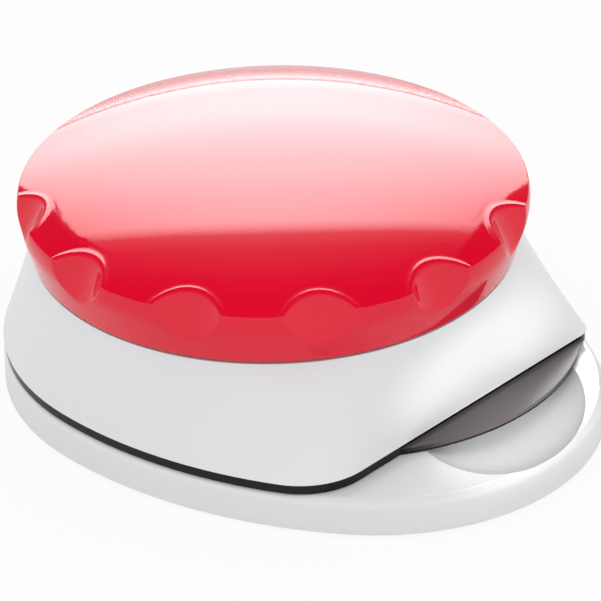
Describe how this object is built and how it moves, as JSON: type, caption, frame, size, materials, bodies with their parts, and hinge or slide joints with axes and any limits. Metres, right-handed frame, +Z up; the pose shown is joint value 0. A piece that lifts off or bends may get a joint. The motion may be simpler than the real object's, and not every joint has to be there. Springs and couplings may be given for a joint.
{
  "type": "button badge maker",
  "caption": "Hand press for pin-back buttons: a domed turning knob on a white casing, hinged to an egg-shaped base with a round die well, a dark finger tab and a scooped front.",
  "frame": {"origin": "middle of the footprint, on the table under the feet", "axes": "+Z up, +Y towards the hinge at the back, -Y towards the finger tab at the front"},
  "size_m": [0.117, 0.1434, 0.06],
  "materials": {
    "body_white": "glossy white moulded plastic",
    "knob_red": "glossy red moulded plastic",
    "tab_dark": "glossy dark grey moulded plastic",
    "cover_steel": "dark powder-coated steel sheet",
    "foot_rubber": "black non-slip rubber",
    "die_steel": "turned steel",
    "drive_steel": "turned steel, oiled",
    "screw_steel": "zinc-plated steel",
    "spring_steel": "drawn spring wire",
    "die_aluminium": "turned aluminium",
    "inner_plastic": "matt unpainted moulding",
    "pad_nylon": "firm dark nylon"
  },
  "bodies": {
    "base": {"base_shell": "body_white", "bottom_cover": "cover_steel", "base_screws": "screw_steel", "rubber_feet": "foot_rubber", "die_cup": "die_steel", "cup_screws": "screw_steel", "hinge_pin": "drive_steel", "platform_springs": "spring_steel"},
    "platform": {"die_platform": "die_aluminium"},
    "lid": {"top_casing": "body_white", "under_plate": "tab_dark", "plate_screws": "screw_steel", "guide_sleeve": "inner_plastic", "slip_ring": "inner_plastic"},
    "knob": {"knob_dome": "knob_red", "knob_hub": "inner_plastic", "hub_screws": "screw_steel", "drive_sleeve": "drive_steel", "sleeve_screws": "screw_steel", "retaining_washer": "drive_steel", "retaining_ring": "drive_steel"},
    "ram": {"ram_body": "die_aluminium", "cross_pin": "drive_steel", "crimp_ring": "die_steel", "crimp_screws": "screw_steel", "plunger_spring": "spring_steel"},
    "plunger": {"plunger_pad": "pad_nylon", "plunger_bolt": "drive_steel"}
  },
  "joints": [
    {"name": "lid_hinge", "type": "hinge", "parent": "base", "child": "lid", "pos_m": [0, 0.0677, 0.01035], "axis": [-1, 0, 0], "range_deg": [0, 75]},
    {"name": "knob_turn", "type": "hinge", "parent": "lid", "child": "knob", "pos_m": [0, 0.0091, 0.0416], "axis": [0, 0, -1], "range_deg": [0, 90]},
    {"name": "ram_slide", "type": "slide", "parent": "lid", "child": "ram", "axis": [0, 0, -1], "range_m": [0, 0.006]},
    {"name": "plunger_slide", "type": "slide", "parent": "ram", "child": "plunger", "axis": [0, 0, 1], "range_m": [0, 0.002], "stiffness_N_per_m": 1500, "springref_m": -0.003, "deforming": ["plunger_spring"]},
    {"name": "platform_slide", "type": "slide", "parent": "base", "child": "platform", "axis": [0, 0, -1], "range_m": [0, 0.0015], "stiffness_N_per_m": 1500, "springref_m": -0.002, "deforming": ["platform_springs"]}
  ],
  "couplings": [
    {"joint": "ram_slide", "follows": "knob_turn", "m_per_rad": 0.0038197}
  ]
}
